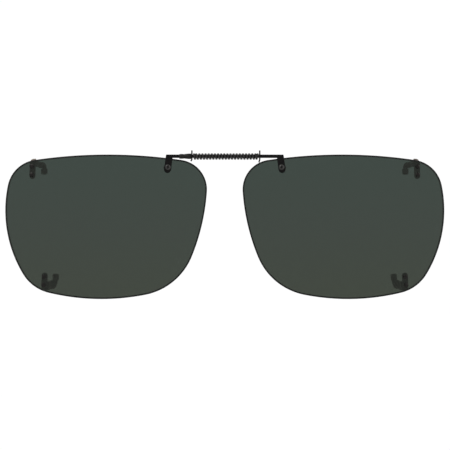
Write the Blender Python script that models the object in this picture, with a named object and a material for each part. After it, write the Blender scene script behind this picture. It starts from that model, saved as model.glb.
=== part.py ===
"""Spring-bridge clip-on sunglasses: two tinted lenses that pull apart against a coil spring.

Frame: +Z up, the wearer behind (+Y), the front of the lenses towards -Y, metres.
The origin lies midway between the lenses, at the height of their boxed centres, in the plane
where the wearer's glasses rest. Left and right are as seen from the front.
The left side is the fixed body. The right side slides along +X on the bridge.
"""

import math

import bmesh
import bpy
from mathutils import Matrix, Vector

MM = 0.001
TURN = 2 * math.pi
QUARTER = math.pi / 2

# ---- Driving dimensions: lenses ----
LENS_GAP = 10.1 * MM  # between the lenses at their nearest, bridge closed
LENS_THICK = 1.0 * MM
LENS_RADIUS = 131.0 * MM  # front curve, a base 4 lens
LENS_FRONT_Y = -5.0 * MM  # the front curve's foremost point
VERTEX_IN = 6.0 * MM  # that point lies this far towards the nose, which wraps the lens a little
# The outline is a chain of tangent arcs: the direction in which each starts, in degrees from the
# nose side and turning over the top, and its radius. None is worked out so that the chain closes.
OUTLINE = (
    (-3.9, 8.55 * MM),  # upper nose corner
    (81.7, None),  # top
    (98.2, 9.18 * MM),  # upper temple corner
    (168.4, None),  # temple side
    (211.3, 11.8 * MM),  # lower temple corner
    (256.6, 65.8 * MM),  # bottom
    (281.1, 18.15 * MM),  # lower nose corner
    (337.6, 59.9 * MM),  # nose side
)
ARC_STEP = math.radians(9)
ARC_LONGEST = 2.6 * MM
LENS_RINGS = 6
FIT_GAP = 0.08 * MM  # between a lens and what is fastened to it
JOIN_GAP = 0.03 * MM  # between two pieces that are brazed or pressed together

# ---- Driving dimensions: bridge ----
BRIDGE_Z = 20.19 * MM
BRIDGE_Y = -3.3 * MM
BAR_HALF_HEIGHT = 0.49 * MM  # each arm's slide bar is half round
BAR_DEPTH = 0.44 * MM
BAR_HALF_GAP = 0.03 * MM  # the two bars run back to back, this far from the bridge's middle plane
BAR_STEPS = 8
BAR_SHORT = 0.12 * MM  # a bar ends this much inside its paddle's outer side
# Each bar steps back to the bridge's middle plane at its outer end: (distance from that end, share).
JOGGLE = ((0.0, 1.0), (2.0 * MM, 1.0), (2.4 * MM, 0.8), (2.9 * MM, 0.2), (3.3 * MM, 0.0))
TIP_PAST = 0.12 * MM  # the left arm's tip comes this far out of the right end plate
TIP_IN_COLLAR = 0.05 * MM  # the right arm's tip stays this far inside its collar's end
PLATE_X = {"left": -9.42 * MM, "right": 10.0 * MM}
PLATE_THICK = 0.40 * MM
PLATE_RADIUS = 1.0 * MM
EAR_HALF_WIDTH = 0.45 * MM
EAR_BEND = 0.3 * MM  # length of the lower ear's bend
EAR_CORNER = 0.12 * MM
EAR_TOP = 1.67 * MM
EAR_BOTTOM = {"left": (1.48 * MM, math.radians(34)), "right": (1.78 * MM, math.radians(16))}
SLIDE_CLEARANCE = 0.04 * MM
COLLAR_LENGTH = 1.95 * MM
COLLAR_RADIUS = (0.68 * MM, 0.80 * MM)
BEAD_RADIUS = 0.70 * MM
BEAD_LENGTH = 1.35 * MM
BEAD_DROP = 0.02 * MM
BEAD_GAP = 0.05 * MM  # between the bead and the collar that rests on it
SPRING_STRIP = (0.52 * MM, 0.32 * MM)  # the flattened wire's width along the coil and its thickness
SPRING_CORNER = 0.10 * MM
SPRING_RADIUS = 0.765 * MM  # of the coil, at the middle of its wire
SPRING_DROP = 0.07 * MM  # the loose coil hangs this much below the bars
SPRING_TURNS = 21.5
SPRING_END_PITCH = 0.54 * MM
SPRING_STEPS = 16

# ---- Driving dimensions: arms and hooks ----
SHEET = 0.40 * MM
PADDLE_AT = 83.1  # direction of the outline where an arm's paddle sits, in degrees
PADDLE_LEAN = math.radians(8)
PADDLE_HALF_WIDTH = 1.0 * MM
PADDLE_REACH = 4.33 * MM  # down the front of the lens, from its edge
SCREW_IN = 2.72 * MM  # from the lens's edge
SCREW_SHANK = 0.50 * MM
SCREW_HEAD = 0.80 * MM
SCREW_DOME = ((0.46 * MM, 0.3), (0.42 * MM, 0.62), (0.30 * MM, 0.88), (0.14 * MM, 1.0), (0.0, 1.0))
SCREW_PAST = 0.12 * MM  # its tip stands this far out of the nut
RECESS = (0.46 * MM, 0.09 * MM)  # half length and half width of the cross
RECESS_FLOOR = 0.24 * MM
BUSH_RADIUS = 0.75 * MM
BUSH_FLANGE = 1.15 * MM
BUSH_FLANGE_THICK = 0.22 * MM
BUSH_IN = 0.02 * MM  # its front end lies this deep in the lens
NUT_ACROSS = 0.95 * MM
NUT_THICK = 0.60 * MM
NUT_CHAMFER = 0.12 * MM
HOOK_X = {"upper": -21.35 * MM, "lower": -18.05 * MM}  # from the lens's centre, - towards the temple
HOOK_LEAN = {"upper": math.radians(1), "lower": math.radians(5)}
HOOK_REACH = 5.25 * MM  # the base leg's tip, in from the lens's edge
HOOK_NUB = {"upper": 0.65 * MM, "lower": 0.15 * MM}  # its other end stands this much past the edge
HOOK_HALF_WIDTH = 0.86 * MM
BAND = {"upper": (0.05 * MM, 1.75 * MM), "lower": (0.30 * MM, 2.85 * MM)}  # in from the edge
BAND_RISE = 0.45 * MM  # back at the claw it stands this much nearer the edge
CLAW_HALF_WIDTH = 0.62 * MM
CLAW_REACH = {"upper": 3.0 * MM, "lower": 4.1 * MM}
HOOK_DEPTH = 5.5 * MM
HOOK_BEND = 0.40 * MM
HOOK_FOLD = math.radians(94.5)  # a little past square, so the claw stays close behind its leg
RIVETS_IN = (1.75 * MM, 4.15 * MM)
RIVET_SHANK = 0.35 * MM
RIVET_HEAD = 0.66 * MM
RIVET_DOME = ((0.26 * MM, 0.25), (0.22 * MM, 0.6), (0.12 * MM, 0.92), (0.0, 1.0))  # height, share
SLEEVE_LENGTH = {"upper": 1.70 * MM, "lower": 1.80 * MM}
SLEEVE_WALL = 0.26 * MM
SLEEVE_SLACK = (0.05 * MM, 0.11 * MM)  # between the claw and the pocket's sides, and its faces
ROUND_SIDES = 16


# ---- Meshes ----
def material(name, colour, roughness, metallic, alpha=1.0):
    made = bpy.data.materials.new(name)
    made.use_nodes = True
    shader = made.node_tree.nodes["Principled BSDF"]
    shader.inputs["Base Color"].default_value = (*colour, 1.0)
    shader.inputs["Roughness"].default_value = roughness
    shader.inputs["Metallic"].default_value = metallic
    shader.inputs["Alpha"].default_value = alpha
    made.diffuse_color = (*colour, alpha)
    return made


def place(name, bm, look, frame, body=None, cutter=False):
    """Makes the object and puts it at frame. A mirroring frame turns the mesh over instead."""
    bmesh.ops.recalc_face_normals(bm, faces=bm.faces)
    mesh = bpy.data.meshes.new(name)
    bm.to_mesh(mesh)
    bm.free()
    if frame.determinant() < 0:
        flip = Matrix.Scale(-1, 4, (1, 0, 0))
        mesh.transform(flip)
        mesh.flip_normals()
        frame = frame @ flip
    mesh.shade_smooth()
    mesh.set_sharp_from_angle(angle=math.radians(35))
    if look:
        mesh.materials.append(look)
    made = bpy.data.objects.new(name, mesh)
    bpy.context.scene.collection.objects.link(made)
    if body:
        made.parent = body
        made.matrix_local = body.matrix_basis.inverted() @ frame
    else:
        made.matrix_basis = frame
    if cutter:
        made.hide_render = True
        made.display_type = "WIRE"
    return made


def loft(rings, loop=False, bm=None):
    """Skins rings of equal point counts. The ends are capped, or joined to each other in a loop."""
    bm = bm or bmesh.new()
    made = [[bm.verts.new(p) for p in ring] for ring in rings]
    pairs = list(zip(made, made[1:]))
    if loop:
        pairs.append((made[-1], made[0]))
    else:
        bm.faces.new(made[0])
        bm.faces.new(made[-1])
    count = len(made[0])
    for a, b in pairs:
        for i in range(count):
            j = (i + 1) % count
            bm.faces.new((a[i], a[j], b[j], b[i]))
    return bm


def circle(q, radius, sides=ROUND_SIDES, centre=(0.0, 0.0)):
    """A ring round the local Y axis at depth q."""
    steps = [TURN * i / sides for i in range(sides)]
    return [Vector((centre[0] + radius * math.cos(t), q, centre[1] + radius * math.sin(t))) for t in steps]


def turned(profile, loop=False, centre=(0.0, 0.0), sides=ROUND_SIDES, bm=None):
    """A solid of revolution about local Y, from (depth, radius) pairs."""
    return loft([circle(q, r, sides, centre) for q, r in profile], loop, bm)


def combine(target, other, operation="DIFFERENCE"):
    step = target.modifiers.new(other.name, "BOOLEAN")
    step.operation = operation
    step.object = other


def fold_at(profile, along):
    """Middle point and normal of a folded sheet, at a flat distance along its (length, turn) runs."""
    p, q, heading = 0.0, 0.0, 0.0
    left = along
    for index, (length, turn) in enumerate(profile):
        last = index == len(profile) - 1
        run = left if last or left < length else length
        if turn:
            radius = length / turn
            after = heading + turn * run / length
            p += radius * (math.sin(after) - math.sin(heading))
            q += radius * (math.cos(heading) - math.cos(after))
            heading = after
        else:
            p += run * math.cos(heading)
            q += run * math.sin(heading)
        left -= run
        if left <= 0:
            break
    return Vector((p, q)), Vector((-math.sin(heading), math.cos(heading)))


def folded_sheet(stations, profile, thickness):
    """A bent sheet-metal blank. Each station is a pair of flat points (along the fold, across it)."""
    rings = []
    for station in stations:
        ring = []
        for offset, order in ((-0.5, station), (0.5, station[::-1])):
            for along, across in order:
                middle, normal = fold_at(profile, along)
                at = middle + normal * offset * thickness
                ring.append(Vector((at.x, at.y, across)))
        rings.append(ring)
    bm = loft(rings)
    bmesh.ops.remove_doubles(bm, verts=bm.verts, dist=0.001 * MM)
    return bm


# ---- Lens outline and surfaces, in the lens's own plane: u towards the nose, w up ----
def closed_arcs():
    """The outline's arcs as (start, end, radius), with the two open radii solved so that it closes."""
    starts = [math.radians(a) for a, _ in OUTLINE]
    spans = list(zip(starts, [*starts[1:], starts[0] + TURN]))
    steps = [Vector((math.cos(b) - math.cos(a), math.sin(b) - math.sin(a))) for a, b in spans]
    known = sum((s * r for s, (_, r) in zip(steps, OUTLINE) if r is not None), Vector((0, 0)))
    first, second = (i for i, (_, r) in enumerate(OUTLINE) if r is None)
    a, b = steps[first], steps[second]
    cross = a.x * b.y - a.y * b.x
    solved = {
        first: (known.y * b.x - known.x * b.y) / cross,
        second: (known.x * a.y - known.y * a.x) / cross,
    }
    return [(lo, hi, solved.get(i, OUTLINE[i][1])) for i, (lo, hi) in enumerate(spans)]


ARCS = closed_arcs()


def outline_at(degrees):
    """The outline's point whose outward direction is this angle, before centring."""
    target = math.radians(degrees)
    point = Vector((0.0, 0.0))
    for lo, hi, radius in ARCS:
        end = min(max(target, lo), hi)
        point += radius * Vector((math.cos(end) - math.cos(lo), math.sin(end) - math.sin(lo)))
        if target <= hi:
            break
    return point


EXTREMES = [outline_at(a) for a in (0, 90, 180, 270)]
CENTRE = Vector(((EXTREMES[0].x + EXTREMES[2].x) / 2, (EXTREMES[1].y + EXTREMES[3].y) / 2))
LENS_WIDTH = EXTREMES[0].x - EXTREMES[2].x
LENS_MIDDLE_X = (LENS_GAP + LENS_WIDTH) / 2


def outline_points():
    """The whole outline, centred on its box."""
    points = []
    for lo, hi, radius in ARCS:
        steps = max(2, math.ceil((hi - lo) / ARC_STEP), math.ceil(radius * (hi - lo) / ARC_LONGEST))
        for i in range(steps):
            points.append(outline_at(math.degrees(lo + (hi - lo) * i / steps)) - CENTRE)
    return points


SPHERE_CENTRE = Vector((VERTEX_IN, LENS_FRONT_Y + LENS_RADIUS, 0))


def lens_point(u, w, behind=0.0):
    """A point of the lens's spherical front, or the one straight through the lens behind it."""
    square = (u - VERTEX_IN) ** 2 + w**2
    front = Vector((u, SPHERE_CENTRE.y - math.sqrt(LENS_RADIUS**2 - square), w))
    return front + (SPHERE_CENTRE - front) * behind / LENS_RADIUS


def side_matrix(side):
    """Lens coordinates (u, y, w) to the row frame: side -1 is the left lens, +1 the right."""
    return Matrix.Translation((side * LENS_MIDDLE_X, 0, 0)) @ Matrix.Scale(-side, 4, (1, 0, 0))


def seat_frame(side, at, inward, out):
    """A frame on the lens's front surface. Its Z lies in the surface and points along out, its Y goes
    back through the lens, and its origin is at the lens's edge, inward from which the frame touches."""
    touch = lens_point(*(at - out * inward))
    back = (SPHERE_CENTRE - touch).normalized()
    up = Vector((out.x, 0, out.y))
    up = (up - back * up.dot(back)).normalized()
    across = back.cross(up)
    origin = touch + up * inward
    local = Matrix((across, back, up)).transposed().to_4x4()
    return side_matrix(side) @ Matrix.Translation(origin) @ local


# ---- Pieces ----
def hook_place(side, level):
    """Where a hook's blank starts: its frame, whose X points to the nose and Z out of the lens."""
    sign = 1 if level == "upper" else -1
    u = HOOK_X[level]
    low, high = (98.2, 168.4) if level == "upper" else (211.3, 270.0)
    for _ in range(40):  # the outline's direction above this point, by halving
        middle = (low + high) / 2
        past = (outline_at(middle) - CENTRE).x < u
        if past == (level == "upper"):
            high = middle
        else:
            low = middle
    edge = outline_at(low) - CENTRE
    lean = HOOK_LEAN[level]
    out = Vector((-math.sin(lean), sign * math.cos(lean)))
    frame = seat_frame(side, edge, HOOK_REACH / 2, out)
    if level == "upper":
        return frame
    return frame @ Matrix.Scale(-1, 4, (1, 0, 0))


def paddle_frame(side):
    edge = outline_at(PADDLE_AT) - CENTRE
    out = Vector((math.sin(PADDLE_LEAN), math.cos(PADDLE_LEAN)))
    return seat_frame(side, edge, PADDLE_REACH / 2, out)


def hole_cutter(name, frame, places, radius, depth, body):
    """One object with a through cylinder at each place, an inward distance along the frame's Z."""
    bm = bmesh.new()
    for inward in places:
        turned([(-depth, radius), (depth, radius)], centre=(0, -inward), bm=bm)
    return place(name, bm, None, frame, body, cutter=True)


def make_lens(name, side, looks, body, frames):
    """The lens, with the holes for its rivets and its screw's bush."""
    outline = outline_points()
    count = len(outline)
    bm = bmesh.new()
    skins = []
    for behind in (0.0, LENS_THICK):
        rings = []
        for k in range(1, LENS_RINGS + 1):
            share = k / LENS_RINGS
            rings.append([bm.verts.new(lens_point(*(p * share), behind)) for p in outline])
        pole = bm.verts.new(lens_point(0, 0, behind))
        for i in range(count):
            j = (i + 1) % count
            bm.faces.new((pole, rings[0][i], rings[0][j]))
            for inner, outer in zip(rings, rings[1:]):
                bm.faces.new((inner[i], outer[i], outer[j], inner[j]))
        skins.append(rings[-1])
    for i in range(count):
        j = (i + 1) % count
        bm.faces.new((skins[0][i], skins[1][i], skins[1][j], skins[0][j]))
    lens = place(name, bm, looks["lens"], side_matrix(side), body)
    depth = 3 * LENS_THICK
    for level in HOOK_X:
        cutter = hole_cutter(
            f"{name}_{level}_holes", frames[level], RIVETS_IN, RIVET_SHANK + FIT_GAP, depth, body
        )
        combine(lens, cutter)
    cutter = hole_cutter(
        f"{name}_bush_hole", frames["paddle"], (SCREW_IN,), BUSH_RADIUS + FIT_GAP, depth, body
    )
    combine(lens, cutter)
    return lens


def hook_profile():
    """The blank's two bends: back from the lens, then along it again."""
    corner = HOOK_FOLD * HOOK_BEND
    straight = HOOK_DEPTH - 2 * HOOK_BEND
    return [(HOOK_HALF_WIDTH, 0), (corner, HOOK_FOLD), (straight, 0), (corner, -HOOK_FOLD), (0, 0)]


def hook_flat_length():
    """From the middle of the base leg to the middle of the claw, along the flat blank."""
    return sum(length for length, _ in hook_profile()) + CLAW_HALF_WIDTH


def rounded_end(along, half_width, tip, towards, steps=6):
    """Stations of a leg's half-round end. towards is +1 to start at the tip, -1 to finish there."""
    turns = [math.radians(82) * (1 - i / steps) for i in range(steps + 1)]
    stations = []
    for turn in turns if towards > 0 else turns[::-1]:
        level = tip + half_width * (1 - math.sin(turn))
        half = half_width * math.cos(turn)
        stations.append(((along - half * towards, level), (along + half * towards, level)))
    return stations


def corner_fan(inner, reach, rise, squareness, steps=7):
    """Stations that turn an outer corner about a sharp inner one: 2 is an ellipse, 4 nearly square."""
    stations = []
    for i in range(steps + 1):
        t = QUARTER * i / steps
        share = Vector((math.cos(t), math.sin(t)))
        stretch = 1 / (share.x**squareness + share.y**squareness) ** (1 / squareness)
        outer = (inner[0] + reach * share.x * stretch, inner[1] + rise * share.y * stretch)
        stations.append((outer, inner))
    return stations


def make_hook(name, level, looks, body, frame):
    """A stamped U bent twice: the base leg lies on the lens, the claw stands behind it."""
    flat = hook_flat_length()
    top, bottom = (-inward for inward in BAND[level])
    stations = rounded_end(0.0, HOOK_HALF_WIDTH, -HOOK_REACH, 1)
    inner = (HOOK_HALF_WIDTH, bottom)
    stations += corner_fan(inner, -2 * HOOK_HALF_WIDTH, HOOK_NUB[level] - bottom, 4)
    alongs = []
    start = HOOK_HALF_WIDTH
    for run, turn in hook_profile()[1:-1]:
        steps = 4 if turn else 1
        alongs += [start + run * i / steps for i in range(1, steps + 1)]
        start += run
    for along in alongs[:-1]:
        rise = BAND_RISE * (along - HOOK_HALF_WIDTH) / (start - HOOK_HALF_WIDTH)
        stations.append(((along, top + rise), (along, bottom + rise)))
    inner = (flat - CLAW_HALF_WIDTH, bottom + BAND_RISE)
    stations += corner_fan(inner, 2 * CLAW_HALF_WIDTH, top - bottom, 2)[::-1]
    stations += rounded_end(flat, CLAW_HALF_WIDTH, -CLAW_REACH[level], -1)
    bm = folded_sheet(stations, hook_profile(), SHEET)
    seat = frame @ Matrix.Translation((0, LENS_THICK + FIT_GAP + SHEET / 2, 0))
    hook = place(name, bm, looks["hook"], seat, body)
    cutter = hole_cutter(f"{name}_holes", seat, RIVETS_IN, RIVET_SHANK + JOIN_GAP, SHEET, body)
    combine(hook, cutter)
    return hook


def claw_middle():
    """Local X and Y of the claw's middle, in the frame of the hook's base leg."""
    middle, _ = fold_at(hook_profile(), hook_flat_length())
    return middle


def make_sleeve(name, level, looks, body, frame):
    """A soft sleeve pushed over the claw: a closed tube with a pocket of the claw's section."""
    middle = claw_middle()
    tip = -CLAW_REACH[level]
    open_end = tip + SLEEVE_LENGTH[level] - SLEEVE_WALL
    pocket = tip - JOIN_GAP

    def section(level_z, half_width, half_depth):
        ring = []
        for i in range(ROUND_SIDES):
            t = TURN * i / ROUND_SIDES
            c, s = math.cos(t), math.sin(t)
            x = math.copysign(abs(c) ** 0.55, c) * half_width
            y = math.copysign(abs(s) ** 0.55, s) * half_depth
            ring.append(Vector((x, y, level_z)))
        return ring

    inner = (CLAW_HALF_WIDTH + SLEEVE_SLACK[0], SHEET / 2 + SLEEVE_SLACK[1])
    outer = (inner[0] + SLEEVE_WALL, inner[1] + 0.8 * SLEEVE_WALL)
    rings = []
    for t in (75, 50, 25, 0):
        share = math.cos(math.radians(t))
        drop = SLEEVE_WALL * 1.6 * math.sin(math.radians(t))
        rings.append(section(pocket + 0.2 * MM - drop, outer[0] * share, outer[1] * share))
    rings.append(section(open_end, *outer))
    rings.append(section(open_end, *inner))
    rings.append(section(pocket, *inner))
    seat = frame @ Matrix.Translation((middle.x, LENS_THICK + FIT_GAP + SHEET / 2 + middle.y, 0))
    return place(name, loft(rings), looks["sleeve"], seat, body)


def make_rivet(name, inward, looks, body, frame):
    """A domed head on the front of the lens and a shank that ends flush with the hook's base."""
    end = LENS_THICK + FIT_GAP + SHEET
    under = -FIT_GAP
    profile = [(under - height, share * RIVET_HEAD) for height, share in RIVET_DOME]
    profile += [(under, RIVET_SHANK), (end, RIVET_SHANK)]
    bm = turned(profile, centre=(0, -inward), sides=14)
    return place(name, bm, looks["metal"], frame, body)


def make_screw(name, looks, body, frame):
    """A domed screw through the paddle, the bush and the nut, with a cross recess in its head."""
    seat = -FIT_GAP - SHEET - JOIN_GAP
    end = LENS_THICK + 2 * FIT_GAP + BUSH_FLANGE_THICK + NUT_THICK + SCREW_PAST
    profile = [(seat - height, share * SCREW_HEAD) for height, share in SCREW_DOME]
    profile += [(seat, SCREW_SHANK), (end, SCREW_SHANK)]
    screw = place(name, turned(profile, centre=(0, -SCREW_IN), sides=20), looks["metal"], frame, body)
    bm = bmesh.new()
    deep = seat - RECESS_FLOOR
    long, wide = RECESS
    outline = [(-long, -wide), (-wide, -wide), (-wide, -long), (wide, -long), (wide, -wide), (long, -wide)]
    outline += [(-x, -z) for x, z in outline]
    rings = [[Vector((x, q, z - SCREW_IN)) for x, z in outline] for q in (deep - 1 * MM, deep)]
    loft(rings, bm=bm)
    combine(screw, place(f"{name}_recess", bm, None, frame, body, cutter=True))
    return screw


def make_bush(name, looks, body, frame):
    """A plastic sleeve in the lens, with a flange behind it that keeps the nut off the lens."""
    front, back = BUSH_IN, LENS_THICK + FIT_GAP
    bore = SCREW_SHANK + JOIN_GAP
    profile = [(front, bore), (front, BUSH_RADIUS), (back, BUSH_RADIUS), (back, BUSH_FLANGE)]
    profile += [(back + BUSH_FLANGE_THICK, BUSH_FLANGE), (back + BUSH_FLANGE_THICK, bore)]
    return place(name, turned(profile, loop=True, centre=(0, -SCREW_IN)), looks["bush"], frame, body)


def make_nut(name, looks, body, frame):
    """A small hexagon nut behind the bush's flange."""
    front = LENS_THICK + FIT_GAP + BUSH_FLANGE_THICK + JOIN_GAP
    sides = 24

    def hexagon(q, scale):
        ring = []
        for i in range(sides):
            t = TURN * i / sides
            from_corner = (t % (TURN / 6)) - TURN / 12
            radius = NUT_ACROSS * scale / math.cos(from_corner)
            ring.append(Vector((radius * math.cos(t), q, radius * math.sin(t) - SCREW_IN)))
        return ring

    bore = SCREW_SHANK + JOIN_GAP
    rings = [
        circle(front, bore, sides, (0, -SCREW_IN)),
        hexagon(front, 1.0),
        hexagon(front + NUT_THICK - NUT_CHAMFER, 1.0),
        hexagon(front + NUT_THICK, 0.88),
        circle(front + NUT_THICK, bore, sides, (0, -SCREW_IN)),
    ]
    return place(name, loft(rings, loop=True), looks["metal"], frame, body)


# ---- The bridge: two half-round slide bars back to back inside a coil spring ----
ARM_END_X = LENS_MIDDLE_X - (outline_at(PADDLE_AT) - CENTRE).x + PADDLE_HALF_WIDTH - BAR_SHORT
COLLAR_START_X = PLATE_X["left"] - PLATE_THICK / 2 - JOIN_GAP - COLLAR_LENGTH
BEAD_START_X = COLLAR_START_X - BEAD_GAP - BEAD_LENGTH


def ring_about_bridge(x, front, across, up, middle=(0.0, 0.0)):
    """An oval ring round the X axis, in the same order of points as a bar's section."""
    ring = []
    for i in range(2 * BAR_STEPS):
        t = -QUARTER + math.pi * i / BAR_STEPS
        y = middle[0] + front * across * math.cos(t)
        ring.append(Vector((x, BRIDGE_Y + y, BRIDGE_Z + middle[1] + up * math.sin(t))))
    return ring


def bar_section(x, front, grow=0.0, inset=0.0):
    """A bar's half-round section. front is -1 for the bar at the front, +1 for the one behind it.
    An inset of 1 brings it to the bridge's middle plane, where it meets the paddle."""
    flat = BAR_HALF_GAP - grow - inset * (BAR_HALF_GAP + BAR_DEPTH / 2)
    half = BAR_HALF_HEIGHT + grow
    ring = ring_about_bridge(x, front, BAR_DEPTH + 2 * grow, half)
    for i, point in enumerate(ring):
        if i <= BAR_STEPS:
            point.y += front * flat
        else:
            point.y = BRIDGE_Y + front * flat
            point.z = BRIDGE_Z + half * (1 - 2 * (i - BAR_STEPS) / BAR_STEPS)
    return ring


def make_arm(name, side, looks, body, frame):
    """A slide bar with a joggle at its outer end, and a flat paddle that hangs from it on the lens."""
    front = -side
    far = COLLAR_START_X + TIP_IN_COLLAR
    if side < 0:
        far = -(PLATE_X["right"] + PLATE_THICK / 2 + TIP_PAST)
    rings = [bar_section(side * (ARM_END_X - along), front, inset=inset) for along, inset in JOGGLE]
    rings.append(bar_section(side * far, front))
    arm = place(name, loft(rings), looks["metal"], Matrix.Identity(4), body)

    turns = [math.pi + math.pi * i / 14 for i in range(15)]
    outline = [(PADDLE_HALF_WIDTH * math.cos(t), PADDLE_HALF_WIDTH * (1 + math.sin(t))) for t in turns]
    outline = [(x, z - PADDLE_REACH) for x, z in outline]
    outline += [(PADDLE_HALF_WIDTH, 0.5 * MM), (-PADDLE_HALF_WIDTH, 0.5 * MM)]
    rings = [[Vector((x, y, z)) for x, z in outline] for y in (-FIT_GAP - SHEET, -FIT_GAP)]
    combine(arm, place(f"{name}_paddle", loft(rings), None, frame, body, cutter=True), "UNION")
    hole = hole_cutter(f"{name}_hole", frame, (SCREW_IN,), SCREW_SHANK + JOIN_GAP, 2 * SHEET, body)
    combine(arm, hole)
    return arm


def make_bead(looks, body):
    """The stop on the left arm's bar, against which the spring holds the collar."""
    profile = [(0.0, 0.94), (0.1, 0.97), (0.3, 0.99), (0.5, 1.0), (0.7, 0.99), (0.9, 0.97), (1.0, 0.94)]
    rings = []
    for along, share in profile:
        x = BEAD_START_X + BEAD_LENGTH * along
        rings.append(ring_about_bridge(x, 1, BEAD_RADIUS * share, BEAD_RADIUS * share, (0.0, -BEAD_DROP)))
    for x in (BEAD_START_X + BEAD_LENGTH, BEAD_START_X):
        rings.append(bar_section(x, 1, JOIN_GAP))
    return place("stop_bead", loft(rings, loop=True), looks["metal"], Matrix.Identity(4), body)


def bar_pair(x, clearance):
    """The round hole that both bars pass through."""
    across = BAR_HALF_GAP + BAR_DEPTH + clearance
    return ring_about_bridge(x, 1, across, BAR_HALF_HEIGHT + clearance)


def make_plate(side, looks, body):
    """A spring seat: a thin disc with an ear above and a bent ear below."""
    below, bend = EAR_BOTTOM[side]
    straight = below - PLATE_RADIUS - EAR_BEND / 3
    profile = [(straight, 0), (EAR_BEND, bend), (PLATE_RADIUS + EAR_TOP, 0)]
    levels = [-below, -below + 0.08 * MM, -PLATE_RADIUS - 0.2 * MM, -PLATE_RADIUS - 0.05 * MM]
    edge = math.asin(EAR_HALF_WIDTH / PLATE_RADIUS)
    levels += [-PLATE_RADIUS * math.cos(edge + (math.pi - 2 * edge) * i / 10) for i in range(11)]
    levels += [PLATE_RADIUS + 0.05 * MM, EAR_TOP - 0.08 * MM, EAR_TOP]
    stations = []
    for level in levels:
        half = EAR_HALF_WIDTH
        if abs(level) < PLATE_RADIUS:
            half = max(half, math.sqrt(PLATE_RADIUS**2 - level**2))
        if level in (levels[0], levels[-1]):
            half -= EAR_CORNER
        stations.append(((level + below, -half), (level + below, half)))
    bm = folded_sheet(stations, profile, PLATE_THICK)
    # The fold starts at the lower ear's tip, so the disc is turned back upright about Y.
    middle, _ = fold_at(profile, below)
    axes = Matrix(((0, -1, 0, 0), (0, 0, 1, 0), (1, 0, 0, 0), (0, 0, 0, 1)))
    upright = Matrix.Rotation(-bend, 4, "Z") @ Matrix.Translation((-middle.x, -middle.y, 0))
    at = Matrix.Translation((PLATE_X[side], BRIDGE_Y, BRIDGE_Z))
    plate = place(f"{side}_end_plate", bm, looks["metal"], at @ axes @ upright, body)
    rings = [bar_pair(PLATE_X[side] + step, SLIDE_CLEARANCE) for step in (-1 * MM, 1 * MM)]
    hole = place(f"{side}_plate_hole", loft(rings), None, Matrix.Identity(4), body, cutter=True)
    combine(plate, hole)
    return plate


def make_collar(looks, body):
    """A tapered ferrule on the right arm's tip, which guides the left arm and meets its bead."""
    start, end = COLLAR_RADIUS
    profile = [(0.0, start - 0.08 * MM), (0.08 * MM, start), (COLLAR_LENGTH - 0.1 * MM, end)]
    profile.append((COLLAR_LENGTH, end - 0.06 * MM))
    rings = [ring_about_bridge(COLLAR_START_X + x, 1, r, r) for x, r in profile]
    rings += [bar_pair(COLLAR_START_X + x, SLIDE_CLEARANCE) for x in (COLLAR_LENGTH, 0.0)]
    return place("guide_collar", loft(rings, loop=True), looks["metal"], Matrix.Identity(4), body)


def make_spring(looks, body):
    """A coil of flattened wire, with a closed turn at each end and even turns between."""
    wide, thick = (size / 2 for size in SPRING_STRIP)
    corner = SPRING_CORNER
    section = [(wide, thick - corner), (wide - corner, thick)]
    section += [(-along, out) for along, out in section[::-1]]
    section += [(-along, -out) for along, out in section]
    gap = wide + JOIN_GAP
    x = PLATE_X["left"] + PLATE_THICK / 2 + gap
    end = PLATE_X["right"] - PLATE_THICK / 2 - gap
    pitch = (end - x - 2 * SPRING_END_PITCH) / (SPRING_TURNS - 2)
    rings = []
    for i in range(round(SPRING_TURNS * SPRING_STEPS) + 1):
        t = TURN * i / SPRING_STEPS
        outward = Vector((0, math.cos(t), math.sin(t)))
        centre = Vector((x, BRIDGE_Y, BRIDGE_Z - SPRING_DROP)) + outward * SPRING_RADIUS
        rings.append([centre + Vector((along, 0, 0)) + outward * out for along, out in section])
        closed = i < SPRING_STEPS or i >= (SPRING_TURNS - 1) * SPRING_STEPS
        x += (SPRING_END_PITCH if closed else pitch) / SPRING_STEPS
    return place("bridge_spring", loft(rings), looks["spring"], Matrix.Identity(4), body)


def make_side(prefix, side, looks, body):
    """One lens with everything that is fastened to it."""
    frames = {level: hook_place(side, level) for level in HOOK_X}
    frames["paddle"] = paddle_frame(side)
    make_lens(f"{prefix}_lens", side, looks, body, frames)
    for level in HOOK_X:
        hook = f"{prefix}_{level}_hook"
        make_hook(hook, level, looks, body, frames[level])
        make_sleeve(f"{hook}_sleeve", level, looks, body, frames[level])
        for place_name, inward in zip(("outer", "inner"), RIVETS_IN):
            make_rivet(f"{hook}_{place_name}_rivet", inward, looks, body, frames[level])
    make_arm(f"{prefix}_arm", side, looks, body, frames["paddle"])
    make_screw(f"{prefix}_arm_screw", looks, body, frames["paddle"])
    make_bush(f"{prefix}_arm_bush", looks, body, frames["paddle"])
    make_nut(f"{prefix}_arm_nut", looks, body, frames["paddle"])


def make_body(name, location):
    empty = bpy.data.objects.new(name, None)
    empty.empty_display_size = 5 * MM
    empty.matrix_basis = Matrix.Translation(location)
    bpy.context.scene.collection.objects.link(empty)
    return empty


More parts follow.
